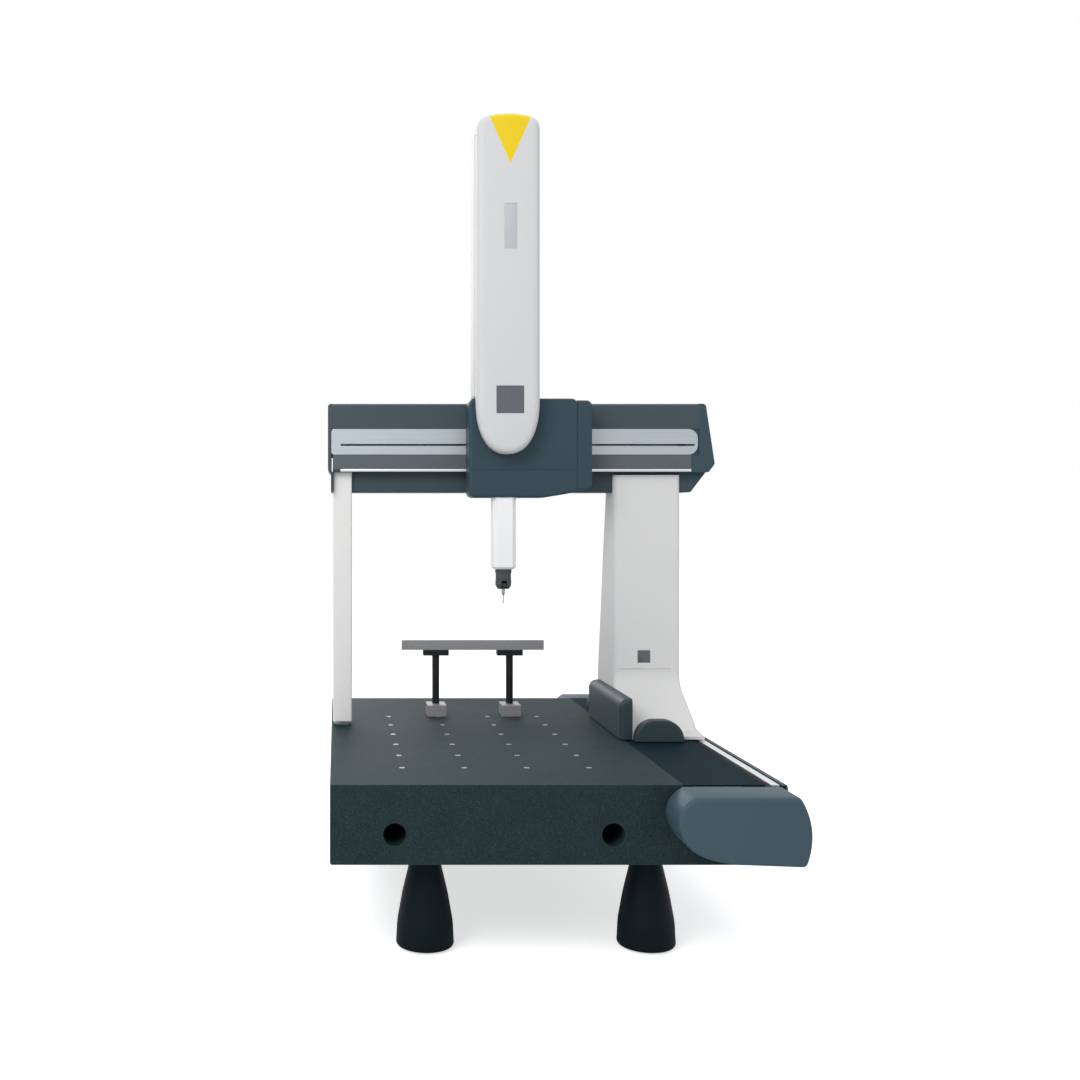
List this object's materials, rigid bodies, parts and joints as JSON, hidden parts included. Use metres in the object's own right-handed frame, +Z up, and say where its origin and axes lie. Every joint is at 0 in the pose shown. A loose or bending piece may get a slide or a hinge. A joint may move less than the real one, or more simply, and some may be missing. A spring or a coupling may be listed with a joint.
{
  "type": "coordinate measuring machine",
  "caption": "Moving-bridge coordinate measuring machine: granite table on ogive feet, belled main leg, slim leg, cross beam, Z column with ram and tilting probe head.",
  "frame": {"origin": "on the floor, below the middle of the machine's outline", "axes": "+Z up, -Y towards the operator's side, +X to the operator's right, towards the main leg"},
  "size_m": [1.4847, 2.058, 2.849],
  "materials": {
    "granite": "polished black granite",
    "steel": "brushed",
    "dark_moulding": "satin dark moulding",
    "rubber": "matte",
    "slate_paint": "satin blue-grey paint",
    "slate_light": "satin lighter blue-grey paint",
    "band": "satin dark band",
    "bright_aluminium": "satin anodised",
    "aluminium": "machined",
    "light_grey": "satin light grey",
    "black": "black",
    "white_ceramic": "satin white",
    "probe_dark": "dark anodised",
    "ruby": "polished",
    "pane": "dark gloss",
    "belt": "matte"
  },
  "bodies": {
    "base": {"granite_table": "granite", "threaded_inserts": "steel", "foot_covers": "dark_moulding", "levelling_jacks": "steel", "foot_pads": "rubber", "y_guide_rail": "steel", "y_bumpers": "rubber", "y_scale": "bright_aluminium", "guide_cover": "slate_paint", "guide_edge_strip": "bright_aluminium", "guide_cover_band": "band", "guide_front_cap": "slate_light", "guide_rear_cap": "slate_light", "y_drive_motor": "black", "y_idler_bracket": "aluminium", "y_drive_belt": "belt", "air_inlet": "aluminium", "rack_feet": "aluminium", "rack_posts": "black", "rack_rail": "aluminium"},
    "bridge": {"main_leg_cover": "light_grey", "main_leg": "aluminium", "y_saddle": "aluminium", "y_air_bearings": "aluminium", "bearing_shroud": "slate_paint", "guide_noses": "slate_paint", "slim_leg": "light_grey", "cross_beam": "aluminium", "x_scale": "bright_aluminium", "x_drive_motor": "black", "x_drive_belt": "belt", "beam_upper_cover": "slate_paint", "beam_lower_cover": "slate_light", "beam_front_panel": "bright_aluminium", "beam_left_cap": "slate_paint", "beam_right_cap": "slate_paint"},
    "x_carriage": {"x_carriage_frame": "aluminium", "x_air_bearings": "aluminium", "z_air_bearings": "aluminium", "carriage_cover": "slate_paint", "carriage_wiper": "slate_light", "column_cover": "light_grey", "column_window": "pane", "z_drive_motor": "black", "z_drive_belt": "belt", "counterbalance_cylinder": "aluminium"},
    "ram": {"ram": "white_ceramic", "z_scale": "bright_aluminium", "counterbalance_rod": "aluminium", "head_body": "probe_dark"},
    "head_rotor": {"head_rotor": "probe_dark"},
    "probe_knuckle": {"head_knuckle": "probe_dark", "probe": "steel", "stylus": "ruby"},
    "y_drive_pulley": {"y_drive_pulley": "aluminium"},
    "y_idler_pulley": {"y_idler_pulley": "aluminium"},
    "x_drive_pulley": {"x_drive_pulley": "aluminium"},
    "x_idler_pulley": {"x_idler_pulley": "aluminium"},
    "z_drive_pulley": {"z_drive_pulley": "aluminium"},
    "z_idler_pulley": {"z_idler_pulley": "aluminium"}
  },
  "joints": [
    {"name": "y_travel", "type": "slide", "parent": "base", "child": "bridge", "axis": [0, 1, 0], "range_m": [-0.74, 0.22]},
    {"name": "x_travel", "type": "slide", "parent": "bridge", "child": "x_carriage", "axis": [1, 0, 0], "range_m": [-0.362, 0.338]},
    {"name": "z_travel", "type": "slide", "parent": "x_carriage", "child": "ram", "axis": [0, 0, 1], "range_m": [-0.45, 0.21]},
    {"name": "head_rotation", "type": "hinge", "parent": "ram", "child": "head_rotor", "pos_m": [-0.07925, 0.0547, 1.103], "axis": [0, 0, 1], "range_deg": [-180, 180]},
    {"name": "probe_tilt", "type": "hinge", "parent": "head_rotor", "child": "probe_knuckle", "pos_m": [-0.07925, 0.0547, 1.103], "axis": [-1, 0, 0], "range_deg": [0, 105]},
    {"name": "y_drive_turn", "type": "hinge", "parent": "base", "child": "y_drive_pulley", "pos_m": [0.60975, 0.955, 0.433], "axis": [1, 0, 0], "range_deg": [-640, 2130]},
    {"name": "y_idler_turn", "type": "hinge", "parent": "base", "child": "y_idler_pulley", "pos_m": [0.60975, -0.955, 0.433], "axis": [1, 0, 0], "range_deg": [-640, 2130]},
    {"name": "x_drive_turn", "type": "hinge", "parent": "bridge", "child": "x_drive_pulley", "pos_m": [0.67075, 0.337, 1.68], "axis": [0, 0, 1], "range_deg": [-1045, 975]},
    {"name": "x_idler_turn", "type": "hinge", "parent": "bridge", "child": "x_idler_pulley", "pos_m": [-0.66725, 0.337, 1.68], "axis": [0, 0, 1], "range_deg": [-1045, 975]},
    {"name": "z_drive_turn", "type": "hinge", "parent": "x_carriage", "child": "z_drive_pulley", "pos_m": [-0.15975, 0.052, 2.749], "axis": [0, 1, 0], "range_deg": [-865, 1850]},
    {"name": "z_idler_turn", "type": "hinge", "parent": "x_carriage", "child": "z_idler_pulley", "pos_m": [-0.15975, 0.052, 1.863], "axis": [0, 1, 0], "range_deg": [-865, 1850]}
  ],
  "couplings": [
    {"joint": "y_drive_turn", "follows": "y_travel", "rad_per_m": -50},
    {"joint": "y_idler_turn", "follows": "y_travel", "rad_per_m": -50},
    {"joint": "x_drive_turn", "follows": "x_travel", "rad_per_m": 50},
    {"joint": "x_idler_turn", "follows": "x_travel", "rad_per_m": 50},
    {"joint": "z_drive_turn", "follows": "z_travel", "rad_per_m": -71.429},
    {"joint": "z_idler_turn", "follows": "z_travel", "rad_per_m": -71.429}
  ]
}
